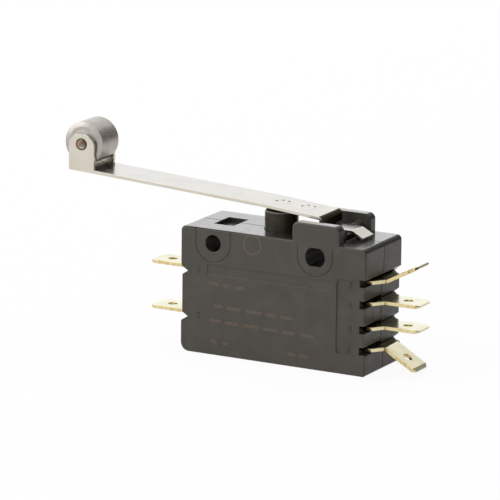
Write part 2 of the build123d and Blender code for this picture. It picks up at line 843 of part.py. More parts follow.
os.makedirs("parts", exist_ok=True)
for name, piece in pieces.items():
    piece.label = name
    export_step(piece, f"parts/{name}.step")
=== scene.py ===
import math

import bmesh
import bpy
from mathutils import Matrix, Vector


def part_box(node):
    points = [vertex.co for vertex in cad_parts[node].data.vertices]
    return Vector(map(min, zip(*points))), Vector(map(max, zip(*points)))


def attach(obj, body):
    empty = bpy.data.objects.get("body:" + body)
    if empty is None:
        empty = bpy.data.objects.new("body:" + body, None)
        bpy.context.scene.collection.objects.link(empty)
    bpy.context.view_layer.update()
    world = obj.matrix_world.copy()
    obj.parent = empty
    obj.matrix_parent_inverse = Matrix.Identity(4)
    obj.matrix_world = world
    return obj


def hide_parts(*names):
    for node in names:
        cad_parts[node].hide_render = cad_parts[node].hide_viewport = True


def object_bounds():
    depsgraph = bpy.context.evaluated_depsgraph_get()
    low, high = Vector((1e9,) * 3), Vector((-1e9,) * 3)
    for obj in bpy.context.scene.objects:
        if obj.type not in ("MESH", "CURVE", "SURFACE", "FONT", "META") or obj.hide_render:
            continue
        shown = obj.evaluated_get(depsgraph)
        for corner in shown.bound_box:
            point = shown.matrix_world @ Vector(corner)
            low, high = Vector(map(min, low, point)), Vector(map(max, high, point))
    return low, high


# Looks of a double-pole snap-action switch with a long roller lever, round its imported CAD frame.
# Lengths are in metres in the frame of the CAD model, except where a comment says millimetres.
# Angles are in degrees.

MM = 0.001

# Camera of the photograph, measured from the object's edges, with lens and sensor in millimetres
CAMERA_PLACE = (0.48578, -0.91881, 0.27753)
CAMERA_YAW = 28.365
CAMERA_PITCH = 13.715
CAMERA_ROLL = 0.608
CAMERA_LENS = 349.26
CAMERA_CLIP = (0.01, 20.0)
SENSOR_WIDTH = 36.0

# Edges of moulded and stamped pieces
CASE_EDGE = 0.12 * MM
SHEET_EDGE = 0.06 * MM
EDGE_ANGLE = 40.0
ROLLER_EDGE_ANGLE = 14.0
TAB_EDGE_ANGLE = 11.0
EDGE_SEGMENTS = 2
WELD_DISTANCE = 0.001 * MM
FLAT_ANGLE = 0.5

# Faces and places of the CAD model that marks and tones lie on
FRONT_FACE_Y = -8.7 * MM
LABEL_FACE_Y = -8.4 * MM
END_LAND_X = 22.5 * MM
STRIP_END = (10.1 * MM, 33.56 * MM)
STRIP_FALL = math.tan(math.radians(5.08))
STRIP_FOLD_X = (9.15 * MM, 9.4 * MM)
PIVOT_PLACE = (13.6 * MM, 0.0, 29.45 * MM)

# Places of the case that are darker: the parting line, a dark seam, and the insides of the
# grooves at the tabs, where the darkness is painted shade
SEAM_HALF_WIDTH = 0.13 * MM
GROOVE_CENTRE = (20.2 * MM, 0.0, 13.0 * MM)
GROOVE_REACH = (2.2 * MM, 8.25 * MM, 9.0 * MM)

# Colours of the plastic pieces, as (dark, light, stained), and of the ink, as (thin, thick)
CASE_COLOURS = ((0.044, 0.039, 0.031), (0.058, 0.052, 0.042), (0.078, 0.055, 0.034))
PLUNGER_COLOURS = ((0.023, 0.019, 0.011), (0.036, 0.030, 0.018), (0.044, 0.032, 0.019))
DIGIT_COLOURS = ((0.026, 0.022, 0.017), (0.036, 0.031, 0.024), (0.046, 0.032, 0.020))
# Painted highlight on the plunger's sloping rim
PLUNGER_RIM_HIGHLIGHT = (0.30, 0.28, 0.24)
INK_COLOURS = ((0.052, 0.045, 0.035), (0.105, 0.066, 0.036))

# Colours of the metal pieces, as (dark, light)
STEEL_COLOURS = ((0.60, 0.55, 0.475), (0.645, 0.60, 0.525))
# Painted shade on the strip's bend
FOLD_SHADE_COLOURS = ((0.10, 0.09, 0.07), (0.17, 0.155, 0.13))
BRASS_COLOURS = ((0.70, 0.635, 0.42), (0.79, 0.73, 0.52))
SHEARED_BRASS_COLOURS = ((0.70, 0.555, 0.27), (0.78, 0.68, 0.40))
SILVER_COLOURS = ((0.80, 0.79, 0.77), (0.90, 0.89, 0.87))
COPPER_COLOURS = ((0.60, 0.36, 0.20), (0.74, 0.46, 0.27))
PIN_COLOURS = ((0.46, 0.44, 0.41), (0.56, 0.54, 0.51))
ROLLER_COLOURS = ((0.38, 0.355, 0.325), (0.46, 0.43, 0.395))
# Painted shade in the staking dents, as a dark metal colour
DENT_SHADE_COLOURS = ((0.06, 0.055, 0.05), (0.12, 0.11, 0.10))
EYELET_BORE = (0.86, 0.62, 0.43)
# Painted highlight on the +X side of the eyelet's bore
EYELET_HIGHLIGHT = (0.98, 0.95, 0.93)
EYELET_RIM = (0.10, 0.085, 0.06)

# Tints of the metals' highlights at glancing angles
METAL_GLINT = (0.87, 0.92, 0.98)
# Darker highlights on the strip's bend: painted shade
FOLD_SHADE_TINT = (0.14, 0.13, 0.11)

# Shares of a colour's brightness that its darker tones keep
# Share kept by the painted shade on the plastic's top and round corners
TOP_SHADE_SHARE = 0.35
# Shares kept by the parting line's dark tone and by the painted shade in the grooves
SEAM_AND_GROOVE_SHADE_SHARES = (0.2, 0.3)
RIM_SHARE = 0.7
FLECK_SHARE = 0.42
BORE_SHARE = 0.8
HIGHLIGHT_SHARE = 0.85

# Patterns of the plastic and the ink: scales of the noise per metre, and its stretch in X, Y and Z
MOTTLE_SCALE = 300.0
STAIN_SCALE = 110.0
HAZE_SCALE = 420.0
RUB_SCALE = 900.0
RUB_STRETCH = (0.12, 1.0, 1.6)
PEEL_SCALE = 900.0
GRAIN_SCALE = 5200.0
INK_SCALE = 9000.0

# Patterns of the metals: scales of the noise per metre, and its stretch in X, Y and Z
CLOUD_SCALE = 260.0
STEEL_LINES = (320.0, (1.0, 14.0, 14.0))
BRASS_LINES = (300.0, (1.0, 12.0, 12.0))
COPPER_LINES = (300.0, (1.0, 10.0, 10.0))
SILVER_LINES = (900.0, (1.0, 1.0, 1.0))
SHEAR_SCALE = 1400.0
SHEAR_STRETCH = (1.0, 1.0, 0.3)
TARNISH_SCALE = 1500.0
TURNED_CLOUD_SCALE = 500.0
TURNED_RING_SCALE = 5200.0

# Levels of the noise, as (start, end), over which a mark fades in
STAIN_RANGE = (0.56, 0.75)
RUB_RANGE = (0.5, 0.66)
INK_RANGE = (0.42, 0.6)
CLOUD_RANGE = (0.3, 0.65)

# Measures of how the surface faces, as (start, end), over which a tone or the coat fades in
TOP_FACING = (0.9, 0.99)
CORNER_FACING = (0.12, 0.3)
SHEARED_FACING = (0.45, 0.75)
COAT_FACING = (0.6, 0.76)

# Slopes of the plunger's rim, where a highlight is painted: upward part of the normal, and how
# far from it they may be
RIM_SLOPE = (0.7, 0.2)

# Gloss and strength of the marks
PLASTIC_IOR = 1.43
PLUNGER_IOR = 1.3
COAT_IOR = 1.7
COAT_ROUGHNESS = 0.14
PLASTIC_HAZE = 0.1
METAL_HAZE = 0.12
RUB_ROUGHNESS = 0.1
MATTE_ADDED = 0.35
CORNER_MATTE = 0.5
STAIN_STRENGTH = 0.35
INK_ROUGHNESS = (0.42, 0.56)
BORE_METALLIC = 0.35

# Bumps, as (strength, distance)
PEEL_BUMP = (0.2, 0.01 * MM)
GRAIN_BUMP = (0.2, 0.008 * MM)
LINE_BUMP = (0.1, 0.003 * MM)
TARNISH_BUMP = (0.1, 0.006 * MM)
RING_BUMP = (0.2, 0.006 * MM)

# Plain counting numbers beside the tabs, as (digit, x and z in millimetres, face)
DIGIT_SIZE = 2.1 * MM
DIGIT_RISE = 0.07 * MM
DIGIT_PLACES = (
    ("1", -18.5, 19.0, FRONT_FACE_Y),
    ("2", -18.5, 8.6, FRONT_FACE_Y),
    ("3", 19.2, 20.2, LABEL_FACE_Y),
    ("4", 19.2, 15.7, LABEL_FACE_Y),
    ("5", 19.2, 10.3, LABEL_FACE_Y),
    ("6", 19.0, 5.6, LABEL_FACE_Y),
)

# Faint plain bars where the case is printed, as (x, z, length) in millimetres
PRINT_THICKNESS = 0.008 * MM
PRINT_EDGE = 0.05 * MM
PRINT_EDGE_DEPTH = 0.35 * PRINT_THICKNESS
PRINT_BAR_HEIGHT = 0.75 * MM
PRINT_BARS = (
    (-14.6, 16.3, 2.6),
    (-11.4, 16.2, 2.0),
    (-8.2, 16.1, 2.4),
    (-13.4, 11.3, 2.2),
    (-9.6, 11.2, 3.8),
    (-4.6, 11.1, 4.4),
    (-0.2, 11.0, 2.4),
    (3.6, 10.9, 3.2),
    (-14.2, 7.9, 3.0),
    (-10.0, 7.8, 3.6),
    (-5.2, 7.8, 4.0),
    (-0.4, 7.7, 3.6),
    (4.2, 7.6, 3.2),
    (8.8, 7.5, 3.4),
    (-14.6, 3.1, 1.8),
    (-11.6, 3.0, 1.4),
    (5.0, 2.8, 2.2),
    (8.0, 2.8, 2.4),
)

# Plain ring of the print, as (x, z, radius, width) in millimetres
PRINT_RING = (-5.1, 26.3, 2.35, 0.4)
RING_STEPS = 64

# Dents of the staking tool round the two rivets, as (x, y) on the strip's top in millimetres
STAKE_RADIUS = 0.24 * MM
STAKE_STEPS = 20
STAKE_PLACES = (
    (-3.64, -0.19),
    (-2.74, 1.23),
    (-1.33, 1.39),
    (2.50, 0.42),
    (3.28, 1.82),
    (4.78, 1.96),
)

# Profile of a dent, as (share of the radius, rise above the strip in millimetres)
STAKE_PROFILE = (
    (1.25, 0.000),
    (1.12, 0.035),
    (0.95, 0.040),
    (0.80, 0.012),
    (0.45, 0.006),
)

# Moulding line on the lands between the rows of tabs, as (low z, high z) in millimetres
FLASH_Y = -3.9 * MM
FLASH_WIDTH = 0.14 * MM
FLASH_RISE = 0.05 * MM
FLASH_TAPER = 0.15 * MM
FLASH_TIP_SHARE = 0.2
FLASH_LANDS = ((6.6, 9.5), (11.4, 15.1), (17.0, 19.9))

# Half of the eyelet's section, as (radius, distance from the middle) in millimetres
EYELET_STEPS = 64
EYELET_PROFILE = (
    (0.80, 0.00),
    (0.80, 3.80),
    (0.84, 4.10),
    (0.96, 4.60),
    (1.08, 4.95),
    (1.14, 5.04),
    (1.22, 5.05),
    (1.31, 5.01),
    (1.38, 4.93),
    (1.40, 4.86),
    (1.38, 4.81),
    (1.15, 4.79),
    (1.15, 0.00),
)

# Radii over which the eyelet turns dark, and distances in X from its axis over which a painted
# highlight fades in
EYELET_DARK_RADII = (0.95 * MM, 1.12 * MM)
EYELET_HIGHLIGHT_REACH = (-0.72 * MM, -0.42 * MM)

# Straight pieces of a half circle
HALF_CIRCLE_STEPS = 6

# Floor, which is partly plain white to the camera and in reflections, and the world's brightness
FLOOR_SIZE = 6.0
FLOOR_DROP = 0.1 * MM
FLOOR_COLOUR = (0.88, 0.88, 0.88)
FLOOR_WHITE_SHARES = (0.93, 0.5)
WORLD_WHITE_SHARES = (1.0, 1.0)
WORLD_STRENGTH = 0.8
STUDIO_ROUGHNESS = 0.9

# Lamps, as (name, place, width, height, brightness of the surface)
LAMPS = (
    ("back_panel", (-1.2, 2.2, 0.55), 3.6, 1.6, 0.3),
    ("top_panel", (-0.2, 0.1, 1.6), 1.8, 1.8, 0.9),
    ("left_panel", (-1.4, -1.1, 0.9), 1.8, 1.8, 1.6),
)

# Cards that the metals and the end face mirror, as (name, two corners in x and y, height, colour)
CARDS = (
    ("back_card", ((0.09, 0.55), (0.62, 0.30)), 0.42, (0.22, 0.21, 0.20)),
    ("side_card", ((0.22, 0.26), (0.30, -0.24)), 0.50, (0.03, 0.03, 0.03)),
)

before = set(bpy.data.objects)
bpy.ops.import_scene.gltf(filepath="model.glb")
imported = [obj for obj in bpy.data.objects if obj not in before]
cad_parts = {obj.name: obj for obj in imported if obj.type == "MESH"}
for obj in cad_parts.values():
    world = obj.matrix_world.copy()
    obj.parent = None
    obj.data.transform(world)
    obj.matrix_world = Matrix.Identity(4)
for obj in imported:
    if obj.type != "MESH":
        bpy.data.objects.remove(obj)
cad_low, cad_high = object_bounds()


def new_material(name):
    """A node material and its shader, node tree and object coordinates."""
    material = bpy.data.materials.new(name)
    material.use_nodes = True
    tree = material.node_tree
    shader = tree.nodes["Principled BSDF"]
    place = tree.nodes.new("ShaderNodeTexCoord").outputs["Object"]
    return material, tree, shader, place


def noise(tree, place, scale, detail=4.0, roughness=0.55, stretch=(1.0, 1.0, 1.0)):
    """Noise over the object's coordinates, drawn out by the given factors."""
    mapping = tree.nodes.new("ShaderNodeMapping")
    mapping.inputs["Scale"].default_value = stretch
    texture = tree.nodes.new("ShaderNodeTexNoise")
    texture.inputs["Scale"].default_value = scale
    texture.inputs["Detail"].default_value = detail
    texture.inputs["Roughness"].default_value = roughness
    tree.links.new(place, mapping.inputs["Vector"])
    tree.links.new(mapping.outputs["Vector"], texture.inputs["Vector"])
    return texture.outputs["Fac"]


def ramp(tree, value, stops):
    """Colour ramp with the given (position, colour) stops."""
    node = tree.nodes.new("ShaderNodeValToRGB")
    elements = node.color_ramp.elements
    while len(elements) < len(stops):
        elements.new(0.5)
    for element, (position, colour) in zip(elements, stops):
        element.position = position
        element.color = (*colour, 1.0)
    tree.links.new(value, node.inputs["Fac"])
    return node.outputs["Color"]


def two_tones(tree, value, first, second, start=0.3, end=0.7):
    """Colour that goes from the first to the second as the value goes from start to end."""
    return ramp(tree, value, [(start, first), (end, second)])


def dimmed(colour, share):
    """The colour at a share of its brightness."""
    return tuple(share * part for part in colour)


def spread(tree, value, low, high, start=0.3, end=0.7):
    """Number that goes from low to high as the value goes from start to end."""
    node = tree.nodes.new("ShaderNodeMapRange")
    node.inputs["From Min"].default_value = start
    node.inputs["From Max"].default_value = end
    node.inputs["To Min"].default_value = low
    node.inputs["To Max"].default_value = high
    tree.links.new(value, node.inputs["Value"])
    return node.outputs["Result"]


def fade_in(tree, value, start, end):
    """Number that goes from 0 to 1 as the value goes from start to end."""
    return spread(tree, value, 0.0, 1.0, start, end)


def blend_colours(tree, amount, first, second):
    """Colour that goes from the first to the second by the amount."""
    node = tree.nodes.new("ShaderNodeMix")
    node.data_type = "RGBA"
    tree.links.new(amount, node.inputs["Factor"])
    tree.links.new(first, node.inputs["A"])
    tree.links.new(second, node.inputs["B"])
    return node.outputs["Result"]


def calculate(tree, operation, *values):
    """Result of a math node over sockets and numbers."""
    node = tree.nodes.new("ShaderNodeMath")
    node.operation = operation
    for socket, value in zip(node.inputs, values):
        if isinstance(value, float):
            socket.default_value = value
        else:
            tree.links.new(value, socket)
    return node.outputs["Value"]


def split_vector(tree, vector):
    """The three numbers of a vector."""
    node = tree.nodes.new("ShaderNodeSeparateXYZ")
    tree.links.new(vector, node.inputs["Vector"])
    return node.outputs["X"], node.outputs["Y"], node.outputs["Z"]


def object_normal(tree):
    """The three numbers of the normal in the object's coordinates."""
    return split_vector(tree, tree.nodes.new("ShaderNodeTexCoord").outputs["Normal"])


def add_bump(tree, shader, *bumps):
    """Chain of bumps, each a (height, strength, distance)."""
    last = None
    for height, strength, distance in bumps:
        node = tree.nodes.new("ShaderNodeBump")
        node.inputs["Strength"].default_value = strength
        node.inputs["Distance"].default_value = distance
        tree.links.new(height, node.inputs["Height"])
        if last is not None:
            tree.links.new(last, node.inputs["Normal"])
        last = node.outputs["Normal"]
    tree.links.new(last, shader.inputs["Normal"])


def case_recesses(tree, place):
    """1 on the parting line and inside the grooves at the tabs, and 0 elsewhere."""
    parts = split_vector(tree, place)
    seam = calculate(tree, "COMPARE", parts[1], 0.0, SEAM_HALF_WIDTH)
    inside_x, inside_y, inside_z = (
        calculate(tree, "COMPARE", part, centre, reach)
        for part, centre, reach in zip(parts, GROOVE_CENTRE, GROOVE_REACH)
    )
    inside_xy = calculate(tree, "MULTIPLY", inside_x, inside_y)
    groove = calculate(tree, "MULTIPLY", inside_xy, inside_z)
    return calculate(tree, "MAXIMUM", seam, groove)


def rub_plastic(tree, shader, place, roughness, matte):
    """Roughness with a faint haze and fine rubs, raised where the plastic is matte."""
    haze = noise(tree, place, HAZE_SCALE, detail=5.0)
    haze = spread(tree, haze, roughness, roughness + PLASTIC_HAZE)
    rubs = noise(tree, place, RUB_SCALE, detail=6.0, roughness=0.7, stretch=RUB_STRETCH)
    rubbed = calculate(tree, "ADD", haze, spread(tree, rubs, 0.0, RUB_ROUGHNESS, *RUB_RANGE))
    raised = calculate(tree, "MULTIPLY_ADD", matte, MATTE_ADDED, rubbed)
    tree.links.new(raised, shader.inputs["Roughness"])


def coat_plastic(tree, shader, matte):
    """Gloss at glancing angles, except where the plastic is matte."""
    skim = tree.nodes.new("ShaderNodeLayerWeight").outputs["Facing"]
    coat = fade_in(tree, skim, *COAT_FACING)
    coat = calculate(tree, "MULTIPLY", coat, calculate(tree, "SUBTRACT", 1.0, matte))
    tree.links.new(coat, shader.inputs["Coat Weight"])
    shader.inputs["Coat Roughness"].default_value = COAT_ROUGHNESS
    shader.inputs["Coat IOR"].default_value = COAT_IOR


def moulded_plastic(
    name, colours, roughness, ior=PLASTIC_IOR, recesses=False, matte_top=False, rim=None
):
    """Moulded phenolic: mottled, faintly stained, rubbed in fine scratches and finely grained.

    Its top is painted darker, as shade, and so are its round corners between the top and +X and
    between the bottom and -X, as a dark reflection. It may also have the case's dark seam and
    painted shade in its grooves, a matte top and a painted highlight on its rim.
    """
    material, tree, shader, place = new_material(name)
    dark, light, stain = colours
    mottle = noise(tree, place, MOTTLE_SCALE, detail=6.0)
    body = two_tones(tree, mottle, dark, light)
    stained = two_tones(tree, mottle, stain, light)
    patches = noise(tree, place, STAIN_SCALE, detail=5.0)
    patches = spread(tree, patches, 0.0, STAIN_STRENGTH, *STAIN_RANGE)
    colour = blend_colours(tree, patches, body, stained)
    normal_x, _, normal_z = object_normal(tree)
    upward = fade_in(tree, normal_z, *TOP_FACING)
    corner = fade_in(tree, calculate(tree, "MULTIPLY", normal_x, normal_z), *CORNER_FACING)
    # Painted shade: a darker copy of the plastic on its top and on its round corners
    painted_shade = two_tones(tree, mottle, dimmed(dark, TOP_SHADE_SHARE), dimmed(light, TOP_SHADE_SHARE))
    colour = blend_colours(tree, calculate(tree, "MAXIMUM", upward, corner), colour, painted_shade)
    matte = upward if matte_top else calculate(tree, "MULTIPLY", corner, CORNER_MATTE)
    # Painted highlight: a lighter colour on the plunger's sloping rim
    if rim is not None:
        slope = calculate(tree, "COMPARE", normal_z, *RIM_SLOPE)
        painted_rim_highlight = two_tones(tree, mottle, dimmed(rim, RIM_SHARE), rim)
        colour = blend_colours(tree, slope, colour, painted_rim_highlight)
    if recesses:
        recess = case_recesses(tree, place)
        matte = calculate(tree, "MAXIMUM", matte, recess)
        # Dark seam on the parting line, and painted shade inside the grooves at the tabs
        dark_share, light_share = SEAM_AND_GROOVE_SHADE_SHARES
        seam_tone_and_groove_shade = two_tones(tree, mottle, dimmed(dark, dark_share), dimmed(light, light_share))
        colour = blend_colours(tree, recess, colour, seam_tone_and_groove_shade)
    tree.links.new(colour, shader.inputs["Base Color"])
    shader.inputs["IOR"].default_value = ior
    rub_plastic(tree, shader, place, roughness, matte)
    coat_plastic(tree, shader, matte)
    grain = noise(tree, place, GRAIN_SCALE, detail=3.0)
    peel = noise(tree, place, PEEL_SCALE, detail=3.0)
    add_bump(tree, shader, (peel, *PEEL_BUMP), (grain, *GRAIN_BUMP))
    return material


def print_ink(name, thin, thick):
    """Faint ink, partly rubbed off, broken up where the face's grain shows through."""
    material, tree, shader, place = new_material(name)
    wear = noise(tree, place, INK_SCALE, detail=3.0, roughness=0.6)
    tree.links.new(two_tones(tree, wear, thin, thick, *INK_RANGE), shader.inputs["Base Color"])
    tree.links.new(spread(tree, wear, *INK_ROUGHNESS), shader.inputs["Roughness"])
    add_bump(tree, shader, (wear, *GRAIN_BUMP))
    return material


def finish_metal(tree, shader, colour, pattern, roughness, bump):
    """Metal of the given colour, with its haze and its bump from one pattern."""
    tree.links.new(colour, shader.inputs["Base Color"])
    haze = spread(tree, pattern, roughness, roughness + METAL_HAZE)
    tree.links.new(haze, shader.inputs["Roughness"])
    add_bump(tree, shader, (pattern, *bump))


def sheet_metal(name, colours, roughness, line_pattern, sheared=None, bend_shade=None):
    """Rolled or brushed sheet: fine lines one way, and a faint cloud of tarnish.

    Its sheared edges may have colours of their own, and its bend may have painted shade, in its
    colour and in its highlights.
    """
    material, tree, shader, place = new_material(name)
    line_scale, line_stretch = line_pattern
    lines = noise(tree, place, line_scale, stretch=line_stretch)
    cloud = noise(tree, place, CLOUD_SCALE, detail=5.0)
    tint = two_tones(tree, cloud, *colours, *CLOUD_RANGE)
    sideways = calculate(tree, "ABSOLUTE", object_normal(tree)[1])
    edge = fade_in(tree, sideways, *SHEARED_FACING)
    if sheared is not None:
        dark, light = sheared
        streaks = noise(tree, place, SHEAR_SCALE, detail=3.0, stretch=SHEAR_STRETCH)
        stops = [(0.33, dimmed(dark, FLECK_SHARE)), (0.39, dark), (0.65, light)]
        tint = blend_colours(tree, edge, tint, ramp(tree, streaks, stops))
    if bend_shade is not None:
        # Painted shade on the strip's bend, past the fold line, except on its sheared edges
        bend_shade_mask = fade_in(tree, split_vector(tree, place)[0], *STRIP_FOLD_X)
        bend_shade_mask = calculate(tree, "MULTIPLY", bend_shade_mask, calculate(tree, "SUBTRACT", 1.0, edge))
        tint = blend_colours(tree, bend_shade_mask, tint, two_tones(tree, lines, *bend_shade))
        edge_tint_and_bend_shade = two_tones(tree, bend_shade_mask, METAL_GLINT, FOLD_SHADE_TINT, 0.0, 1.0)
        tree.links.new(edge_tint_and_bend_shade, shader.inputs["Specular Tint"])
    shader.inputs["Metallic"].default_value = 1.0
    shader.inputs["Specular Tint"].default_value = (*METAL_GLINT, 1.0)
    finish_metal(tree, shader, tint, lines, roughness, LINE_BUMP)
    return material


def axis_radius(tree, place, axis_place):
    """Distance from an axis along Y."""
    shift = tree.nodes.new("ShaderNodeVectorMath")
    shift.operation = "SUBTRACT"
    shift.inputs[1].default_value = axis_place
    tree.links.new(place, shift.inputs[0])
    flatten = tree.nodes.new("ShaderNodeVectorMath")
    flatten.operation = "MULTIPLY"
    flatten.inputs[1].default_value = (1.0, 0.0, 1.0)
    tree.links.new(shift.outputs["Vector"], flatten.inputs[0])
    radius = tree.nodes.new("ShaderNodeVectorMath")
    radius.operation = "LENGTH"
    tree.links.new(flatten.outputs["Vector"], radius.inputs[0])
    return radius.outputs["Value"]


def eyelet_metal(name, roughness, axis_place):
    """Eyelet brass: warmer towards -X, painted highlight towards +X, dark round its rolled rim."""
    material, tree, shader, place = new_material(name)
    outward = fade_in(tree, axis_radius(tree, place, axis_place), *EYELET_DARK_RADII)
    tarnish = noise(tree, place, TARNISH_SCALE, detail=5.0)
    bore = two_tones(tree, tarnish, dimmed(EYELET_BORE, BORE_SHARE), EYELET_BORE)
    # Painted highlight: a pale colour on the bore's +X side
    pale = two_tones(tree, tarnish, dimmed(EYELET_HIGHLIGHT, HIGHLIGHT_SHARE), EYELET_HIGHLIGHT)
    dark_rim = two_tones(tree, tarnish, dimmed(EYELET_RIM, RIM_SHARE), EYELET_RIM)
    highlight_start, highlight_end = (axis_place[0] + reach for reach in EYELET_HIGHLIGHT_REACH)
    side = fade_in(tree, split_vector(tree, place)[0], highlight_start, highlight_end)
    colour = blend_colours(tree, outward, blend_colours(tree, side, bore, pale), dark_rim)
    metallic = spread(tree, outward, BORE_METALLIC, 1.0, 0.0, 1.0)
    tree.links.new(metallic, shader.inputs["Metallic"])
    finish_metal(tree, shader, colour, tarnish, roughness, TARNISH_BUMP)
    return material


def turned_metal(name, colours, roughness, axis_place):
    """Turned metal with fine rings round an axis along Y."""
    material, tree, shader, place = new_material(name)
    join = tree.nodes.new("ShaderNodeCombineXYZ")
    tree.links.new(axis_radius(tree, place, axis_place), join.inputs["X"])
    tree.links.new(split_vector(tree, place)[1], join.inputs["Y"])
    rings = noise(tree, join.outputs["Vector"], TURNED_RING_SCALE, detail=2.0)
    cloud = noise(tree, place, TURNED_CLOUD_SCALE, detail=5.0)
    shader.inputs["Metallic"].default_value = 1.0
    finish_metal(tree, shader, two_tones(tree, cloud, *colours), rings, roughness, RING_BUMP)
    return material


def dress(node_names, material, edge, edge_angle=EDGE_ANGLE):
    """Give CAD nodes a material and fine bevelled edges."""
    for name in node_names:
        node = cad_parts[name]
        node.data.materials.clear()
        node.data.materials.append(material)
        weld = node.modifiers.new("join_faces", "WELD")
        weld.merge_threshold = WELD_DISTANCE
        flat = node.modifiers.new("whole_faces", "DECIMATE")
        flat.decimate_type = "DISSOLVE"
        flat.angle_limit = math.radians(FLAT_ANGLE)
        bevel = node.modifiers.new("soft_edges", "BEVEL")
        bevel.width = edge
        bevel.segments = EDGE_SEGMENTS
        bevel.limit_method = "ANGLE"
        bevel.angle_limit = math.radians(edge_angle)
        bevel.use_clamp_overlap = False
        smooth = node.modifiers.new("even_shading", "WEIGHTED_NORMAL")
        smooth.mode = "FACE_AREA_WITH_ANGLE"
        smooth.keep_sharp = False


def nodes_starting(*starts):
    """Names of the CAD nodes that start with any of the words."""
    return [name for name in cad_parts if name.startswith(starts)]


roller_low, roller_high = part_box("roller")
roller_centre = (roller_low + roller_high) / 2

case_plastic = moulded_plastic("case_plastic", CASE_COLOURS, 0.30, recesses=True)
plunger_plastic = moulded_plastic(
    "plunger_plastic", PLUNGER_COLOURS, 0.30, ior=PLUNGER_IOR, matte_top=True, rim=PLUNGER_RIM_HIGHLIGHT
)
digit_plastic = moulded_plastic("digit_plastic", DIGIT_COLOURS, 0.34)
brown_ink = print_ink("brown_ink", *INK_COLOURS)
lever_steel = sheet_metal("lever_steel", STEEL_COLOURS, 0.16, STEEL_LINES)
strip_steel = sheet_metal("strip_steel", STEEL_COLOURS, 0.16, STEEL_LINES, bend_shade=FOLD_SHADE_COLOURS)
tab_brass = sheet_metal("tab_brass", BRASS_COLOURS, 0.14, BRASS_LINES, sheared=SHEARED_BRASS_COLOURS)
contact_silver = sheet_metal("contact_silver", SILVER_COLOURS, 0.18, SILVER_LINES)
spring_copper = sheet_metal("spring_copper", COPPER_COLOURS, 0.2, COPPER_LINES)
pin_steel = turned_metal("pin_steel", PIN_COLOURS, 0.2, PIVOT_PLACE)
roller_steel = turned_metal("roller_steel", ROLLER_COLOURS, 0.30, roller_centre)
pin_brass = eyelet_metal("pin_brass", 0.10, roller_centre)
# Painted shade: dark metal for the staking dents
shaded_dent_steel = turned_metal("shaded_dent_steel", DENT_SHADE_COLOURS, 0.3, roller_centre)

dress(nodes_starting("case_"), case_plastic, CASE_EDGE)
dress(["plunger"], plunger_plastic, SHEET_EDGE)
dress(["lever_strip"], strip_steel, SHEET_EDGE)
dress(["lever_base", "lever_rivets"], lever_steel, SHEET_EDGE)
dress(
    nodes_starting("closed_terminal", "open_terminal", "common_terminal"),
    tab_brass,
    SHEET_EDGE,
    TAB_EDGE_ANGLE,
)
dress(nodes_starting("closed_contact", "open_contact", "moving_contact"), contact_silver, SHEET_EDGE)
dress(nodes_starting("contact_arm", "snap_spring"), spring_copper, SHEET_EDGE)
dress(["pivot_pin"], pin_steel, SHEET_EDGE)
dress(["roller"], roller_steel, SHEET_EDGE, ROLLER_EDGE_ANGLE)


def circle_points(steps):
    """Points round the unit circle."""
    turns = (math.tau * step / steps for step in range(steps))
    return [(math.cos(turn), math.sin(turn)) for turn in turns]


def half_circle_points(start):
    """Points along half of the unit circle, from the given angle on."""
    step_angle = 180.0 / HALF_CIRCLE_STEPS
    angles = (math.radians(start + step_angle * step) for step in range(HALF_CIRCLE_STEPS + 1))
    return [(math.cos(angle), math.sin(angle)) for angle in angles]


def bridge(shape, loops):
    """Faces between each closed loop of vertices and the next."""
    for first, second in zip(loops, loops[1:]):
        for i in range(len(first)):
            j = (i + 1) % len(first)
            shape.faces.new((first[i], first[j], second[j], second[i]))


def smooth_faces(shape):
    """Shade all faces smooth."""
    for face in shape.faces:
        face.smooth = True


def link_piece(name, shape, material, body):
    """Object made of a bmesh, with its finish and the body that it rides on."""
    mesh = bpy.data.meshes.new(name)
    shape.to_mesh(mesh)
    shape.free()
    mesh.materials.append(material)
    piece = bpy.data.objects.new(name, mesh)
    bpy.context.scene.collection.objects.link(piece)
    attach(piece, body)
    return piece


def plate(shape, outline, back, front, edge, edge_depth):
    """Thin plate along -Y from a closed outline of (x, z) points, with its front edge bevelled."""
    centre_x = sum(x for x, z in outline) / len(outline)
    centre_z = sum(z for x, z in outline) / len(outline)
    reach = max(math.hypot(x - centre_x, z - centre_z) for x, z in outline)
    loops = []
    for y, scale in ((back, 1.0), (front + edge_depth, 1.0), (front, 1 - edge / reach)):
        loops.append([
            shape.verts.new((centre_x + (x - centre_x) * scale, y, centre_z + (z - centre_z) * scale))
            for x, z in outline
        ])
    bridge(shape, loops)
    shape.faces.new(loops[-1])
    shape.faces.new(list(reversed(loops[0])))


def rounded_bar(centre_x, centre_z, length, height):
    """Outline of a bar with rounded ends, counter-clockwise as seen from the front."""
    radius = height / 2
    outline = []
    for end, start in ((1, -90.0), (-1, 90.0)):
        end_x = centre_x + end * (length / 2 - radius)
        for across, up in half_circle_points(start):
            outline.append((end_x + radius * across, centre_z + radius * up))
    return outline


def ring_band(shape, centre_x, centre_z, radius, width, back, front):
    """Flat ring along -Y with a closed square section."""
    section = (
        (radius, back),
        (radius, front),
        (radius - width, front),
        (radius - width, back),
    )
    loops = []
    for r, y in section:
        loops.append([
            shape.verts.new((centre_x + r * across, y, centre_z + r * up))
            for across, up in circle_points(RING_STEPS)
        ])
    bridge(shape, loops + loops[:1])


